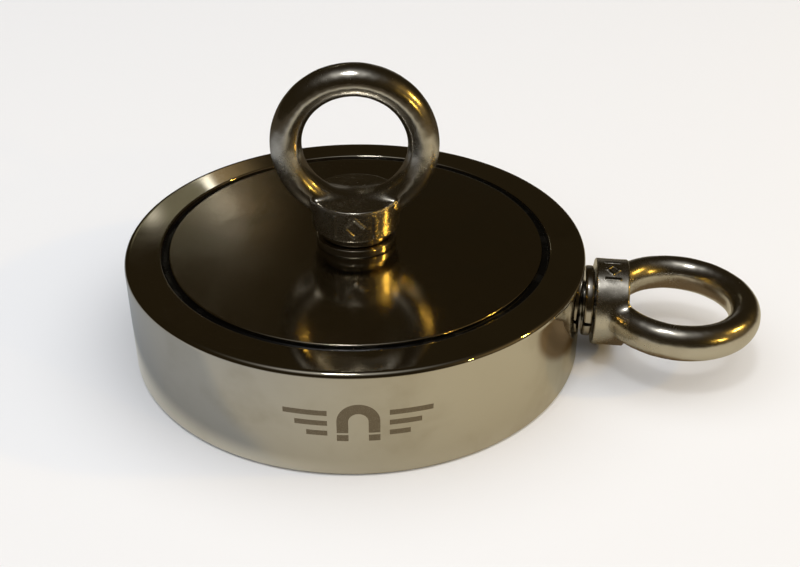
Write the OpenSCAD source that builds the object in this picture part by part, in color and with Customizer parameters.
// Double-sided round pot magnet for magnet fishing, with one eyebolt on top and one on the side.
// Frame: origin at the centre of the lower face, +Z up through the top eyebolt, +X along the side eyebolt.

/* [Pot] */
// Outside diameter of the steel pot
pot_d = 136; // [124:1:170]
// Height of the pot, from the lower face to the upper face
pot_h = 33; // [31:0.5:44]
// Radius on the pot's outer edges
edge_r = 1.4; // [0.4:0.1:2]
// Outside diameter of the resin groove, which is also the recess diameter
groove_d = 115; // [112:0.5:120]

/* [Magnets] */
// Diameter of each magnet plate
magnet_d = 110.4; // [104:0.2:110.6]
// Thickness of each magnet plate
magnet_t = 6.7; // [5:0.1:8]
// Diameter of the hole through each magnet plate
magnet_bore_d = 13.5; // [12.8:0.1:15]
// Chamfer around the rim of each magnet plate
magnet_chamfer = 0.4; // [0.2:0.1:0.8]
// Thickness of the glue film behind each magnet plate
film_t = 0.3; // [0.1:0.1:0.5]
// Depth of the resin surface below the face
resin_recess = 1.2; // [0.4:0.1:2.5]

/* [Eyebolts] */
// Diameter of the collar under the eye
collar_d = 26; // [23:0.5:27]
// Height of the collar
collar_h = 9.8; // [8:0.1:10]
// Bevel around the two edges of the collar
collar_bevel = 0.6; // [0.3:0.1:1]
// Inside diameter of the eye
eye_bore_d = 30; // [29:0.5:30]
// Thickness of the eye's oval bar, along the bore
bar_d = 10.7; // [9.8:0.1:11.5]
// Thickness of the eye's oval bar, outwards from the bore
bar_w = 9.2; // [8.4:0.1:9.8]
// Width of the narrow flat where the bar was trimmed around the bore
bar_flat = 2; // [1:0.5:3]
// Height of the eye's centre above the collar's underside
eye_rise = 25.1; // [25:0.1:27]
// Length of the threaded shank below the collar
shank_l = 22; // [20:0.5:22]
// Turn of the top eye about the vertical
top_turn = 6.5; // [-30:0.5:30]

/* [Threads] */
// Effective diameter of the shank's M12 thread
shank_d = 10.86; // [10.7:0.02:10.86]
// Radial clearance of the shank in its tapped hole
thread_clearance = 0.05; // [0.02:0.01:0.1]
// Length of the plain neck where the thread stops under the collar
neck_l = 2; // [1:0.5:3]
// Depth of the side tapped hole, to the start of its drill point
side_hole_l = 20.5; // [20:0.5:22]

/* [Washers] */
// Outside diameter of the plain washer on the upper face
plain_washer_od = 24; // [23.5:0.1:24.5]
// Inside diameter of the plain washer
plain_washer_id = 13; // [12.6:0.1:14]
// Thickness of the plain washer
plain_washer_t = 2.5; // [2.3:0.1:2.5]
// Outside diameter of the spring lock washers
washer_od = 21.2; // [20:0.1:22]
// Inside diameter of the spring lock washers
washer_id = 12.4; // [12.2:0.1:13]
// Thickness of the washer's wire
washer_t = 2.8; // [2.5:0.1:2.8]
// Rise of the top spring washer from one end to the other, almost flattened by its bolt
top_washer_rise = 0.2; // [0.05:0.05:0.25]
// Rise of the side spring washer, which is flattened more
side_washer_rise = 0.1; // [0.05:0.05:0.1]
// Height of the top collar above the upper face
top_gap = 5.7; // [5.7:0.1:6]
// Distance of the side collar from the pot wall
side_gap = 3.4; // [3.3:0.1:3.6]

/* [Hidden] */

$fn = 96;
large_fn = 180;
eye_fn = 128;
bar_fn = 64;
eps = 0.01;
overcut = 1;

// pot interior
pocket_t = magnet_t + film_t;
web_t = pot_h - 2 * pocket_t;
groove_chamfer = 0.3;
film_bore_d = magnet_bore_d + 0.5;
thread_d = shank_d + 2 * thread_clearance;
// The tapped hole through the web was tapped from both sides; a short ridge is left between the threads.
ridge_d = 10.2;
ridge_l = 0.6;
lower_thread_l = 5.8;
thread_lead_in = 0.4;
drill_point_l = 3;
drill_tip_d = 0.4;

// eyebolt section
bar_half_w = bar_w / (1 + sqrt(1 - pow(bar_flat / bar_d, 2)));
bar_centre_r = eye_bore_d / 2 + bar_w - bar_half_w;
neck_relief = 0.45;
neck_d = shank_d - 2 * neck_relief;
tip_bevel = 1;
mark_height = 0.35;
mark_root = 1;
mark_t = mark_root + 2 * mark_height;
mark_w = 1.2;
diamond_share = 0.7;
diamond_stroke = 0.9;
// The marks face the front and are larger on the top collar. On the side collar they face upwards.
top_mark_l = 7;
top_mark_pitch = 26;
top_mark_turn = -90;
side_mark_l = 5;
side_mark_pitch = 16;
side_mark_turn = 101;

// washers
washer_steps = 60;
washer_split_deg = 7;
washer_rest_gap = 0.05;
top_washer_gap = washer_rest_gap + plain_washer_t + washer_rest_gap;
side_washer_gap = side_gap - washer_t - side_washer_rise - washer_rest_gap;
top_split_turn = 182;
side_split_turn = 284;

// colours
nickel = [0.72, 0.70, 0.66];
magnet_nickel = [0.62, 0.59, 0.54];
bolt_steel = [0.78, 0.77, 0.75];
spring_steel = [0.50, 0.49, 0.46];
resin_black = [0.05, 0.05, 0.05];
glue_grey = [0.45, 0.42, 0.36];

// Square with rounded right-hand corners, from the axis out to x = w, standing on y = 0.
module rounded_half(w, h, r) {
    square([w - r, h]);
    translate([0, r])
        square([w, h - 2 * r]);
    for (y = [r, h - r])
        translate([w - r, y])
            circle(r);
}

// One recess of the pot's section, open upwards from y = 0, with a chamfered mouth.
module recess_outline() {
    translate([-overcut, -pocket_t])
        square([groove_d / 2 + overcut, pocket_t + overcut]);
    polygon([
        [groove_d / 2 - overcut, -groove_chamfer - overcut],
        [groove_d / 2 + groove_chamfer + overcut, overcut],
        [groove_d / 2 - overcut, overcut],
    ]);
}

// Tapped hole along +Z from z = 0 to z = l, with a lead-in at its mouth at z = 0.
module tapped_hole(l) {
    translate([0, 0, -overcut])
        cylinder(h = l + overcut, d = thread_d);
    translate([0, 0, -eps])
        cylinder(h = thread_lead_in + eps, d1 = thread_d + 2 * thread_lead_in, d2 = thread_d);
}

// Steel pot of H section, with a through thread in the middle and a blind thread in the side.
module pot_body() {
    color(nickel)
        difference() {
            rotate_extrude($fn = large_fn)
                difference() {
                    rounded_half(pot_d / 2, pot_h, edge_r);
                    translate([0, pot_h])
                        recess_outline();
                    mirror([0, 1])
                        recess_outline();
                }
            translate([0, 0, pocket_t])
                tapped_hole(lower_thread_l);
            translate([0, 0, pocket_t])
                cylinder(h = web_t, d = ridge_d);
            translate([0, 0, pot_h - pocket_t])
                mirror([0, 0, 1])
                    tapped_hole(web_t - lower_thread_l - ridge_l);
            translate([pot_d / 2, 0, pot_h / 2])
                rotate([0, -90, 0])
                    side_hole();
        }
}

// Blind tapped hole with its drill point.
module side_hole() {
    tapped_hole(side_hole_l);
    translate([0, 0, side_hole_l - eps])
        cylinder(h = drill_point_l, d1 = thread_d, d2 = drill_tip_d);
}

// Ring magnet from z = 0 up to its pull face at z = magnet_t.
module magnet_plate() {
    color(magnet_nickel)
        rotate_extrude($fn = large_fn)
            polygon([
                [magnet_bore_d / 2, 0],
                [magnet_d / 2 - magnet_chamfer, 0],
                [magnet_d / 2, magnet_chamfer],
                [magnet_d / 2, magnet_t - magnet_chamfer],
                [magnet_d / 2 - magnet_chamfer, magnet_t],
                [magnet_bore_d / 2, magnet_t],
            ]);
}

module upper_magnet() {
    translate([0, 0, pot_h - magnet_t])
        magnet_plate();
}

module lower_magnet() {
    translate([0, 0, magnet_t])
        mirror([0, 0, 1])
            magnet_plate();
}

// Flat ring standing on z = 0.
module flat_ring(od, id, h) {
    difference() {
        cylinder(h = h, d = od, $fn = large_fn);
        translate([0, 0, -overcut])
            cylinder(h = h + 2 * overcut, d = id, $fn = large_fn);
    }
}

module upper_bond_film() {
    color(glue_grey)
        translate([0, 0, pot_h - pocket_t])
            flat_ring(magnet_d - 2 * magnet_chamfer, film_bore_d, film_t);
}

module lower_bond_film() {
    color(glue_grey)
        translate([0, 0, magnet_t])
            flat_ring(magnet_d - 2 * magnet_chamfer, film_bore_d, film_t);
}

module resin_ring() {
    color(resin_black)
        flat_ring(groove_d, magnet_d, pocket_t - resin_recess);
}

module upper_resin_ring() {
    translate([0, 0, pot_h - pocket_t])
        resin_ring();
}

module lower_resin_ring() {
    translate([0, 0, resin_recess])
        resin_ring();
}

// Section of the eye's bar: oval, with a narrow flat on its inner side.
module bar_section() {
    intersection() {
        translate([bar_centre_r, 0])
            scale([2 * bar_half_w / bar_d, 1])
                circle(d = bar_d, $fn = bar_fn);
        translate([eye_bore_d / 2, -bar_d])
            square([bar_d * 2, bar_d * 2]);
    }
}

// Collar standing on z = 0, with both edges bevelled.
module collar() {
    cylinder(h = collar_bevel, d1 = collar_d - 2 * collar_bevel, d2 = collar_d);
    translate([0, 0, collar_bevel])
        cylinder(h = collar_h - 2 * collar_bevel, d = collar_d);
    translate([0, 0, collar_h - collar_bevel])
        cylinder(h = collar_bevel, d1 = collar_d, d2 = collar_d - 2 * collar_bevel);
}

// Square bar of width w, centred on the X axis from x = 0 to x = l.
module square_bar(w, l) {
    translate([0, -w / 2, -w / 2])
        cube([l, w, w]);
}

// Plain raised forging marks on the collar, centred on turn: a diamond between two bars of length l.
module collar_marks(turn, pitch, l) {
    diamond_w = diamond_share * l;
    intersection() {
        cylinder(h = collar_h, r = collar_d / 2 + mark_height);
        union() {
            for (side = [-1, 1])
                rotate([0, 0, turn + side * pitch])
                    translate([collar_d / 2 - mark_root, -mark_w / 2, (collar_h - l) / 2])
                        cube([mark_t, mark_w, l]);
            rotate([0, 0, turn])
                translate([collar_d / 2 - mark_root, 0, collar_h / 2])
                    rotate([45, 0, 0])
                        difference() {
                            square_bar(diamond_w, mark_t);
                            translate([-overcut, 0, 0])
                                square_bar(diamond_w - 2 * diamond_stroke, mark_t + 2 * overcut);
                        }
        }
    }
}

// Threaded shank hanging below z = 0: plain neck, thread and bevelled tip.
module shank() {
    translate([0, 0, -neck_l])
        cylinder(h = neck_l + eps, d = neck_d);
    translate([0, 0, -shank_l + tip_bevel])
        cylinder(h = shank_l - neck_l - tip_bevel, d = shank_d);
    translate([0, 0, -shank_l])
        cylinder(h = tip_bevel, d1 = shank_d - 2 * tip_bevel, d2 = shank_d);
}

// Forged eyebolt with its collar's underside at z = 0, and the marks given. The eye's bore runs along Y.
module eyebolt() {
    color(bolt_steel)
        union() {
            translate([0, 0, eye_rise])
                rotate([90, 0, 0])
                    rotate_extrude($fn = eye_fn)
                        bar_section();
            collar();
            shank();
            children();
        }
}

module top_eyebolt() {
    translate([0, 0, pot_h + top_gap])
        rotate([0, 0, top_turn])
            eyebolt()
                collar_marks(top_mark_turn, top_mark_pitch, top_mark_l);
}

module side_eyebolt() {
    translate([pot_d / 2 + side_gap, 0, pot_h / 2])
        rotate([0, 90, 0])
            rotate([0, 0, 90])
                eyebolt()
                    collar_marks(side_mark_turn, side_mark_pitch, side_mark_l);
}

// Four corners of the washer's wire at one step of the sweep, which climbs anticlockwise.
function wire_corners(i, rise) =
    let (a = i * (360 - washer_split_deg) / washer_steps, z = rise * i / washer_steps)
    [for (p = [[washer_id, 0], [washer_od, 0], [washer_od, washer_t], [washer_id, washer_t]])
        [p[0] / 2 * cos(a), p[0] / 2 * sin(a), z + p[1]]];

// Split spring lock washer standing on z = 0, starting at angle 0.
module spring_washer(rise) {
    points = [for (i = [0:washer_steps]) each wire_corners(i, rise)];
    last = 4 * washer_steps;
    sides = [for (i = [0:washer_steps - 1], k = [0:3])
        let (a = 4 * i + k, b = 4 * i + (k + 1) % 4)
        each [[a, b, b + 4], [a, b + 4, a + 4]]];
    color(spring_steel)
        polyhedron(
            points = points,
            faces = concat([[3, 2, 1, 0]], sides, [[last, last + 1, last + 2, last + 3]])
        );
}

module top_plain_washer() {
    color(spring_steel)
        translate([0, 0, pot_h + washer_rest_gap])
            flat_ring(plain_washer_od, plain_washer_id, plain_washer_t);
}

module top_spring_washer() {
    translate([0, 0, pot_h + top_washer_gap])
        rotate([0, 0, top_split_turn + washer_split_deg / 2])
            spring_washer(top_washer_rise);
}

module side_spring_washer() {
    translate([pot_d / 2 + side_washer_gap, 0, pot_h / 2])
        rotate([0, 90, 0])
            rotate([0, 0, side_split_turn])
                spring_washer(side_washer_rise);
}

pot_body();
upper_magnet();
lower_magnet();
upper_bond_film();
lower_bond_film();
upper_resin_ring();
lower_resin_ring();
top_eyebolt();
top_spring_washer();
top_plain_washer();
side_eyebolt();
side_spring_washer();
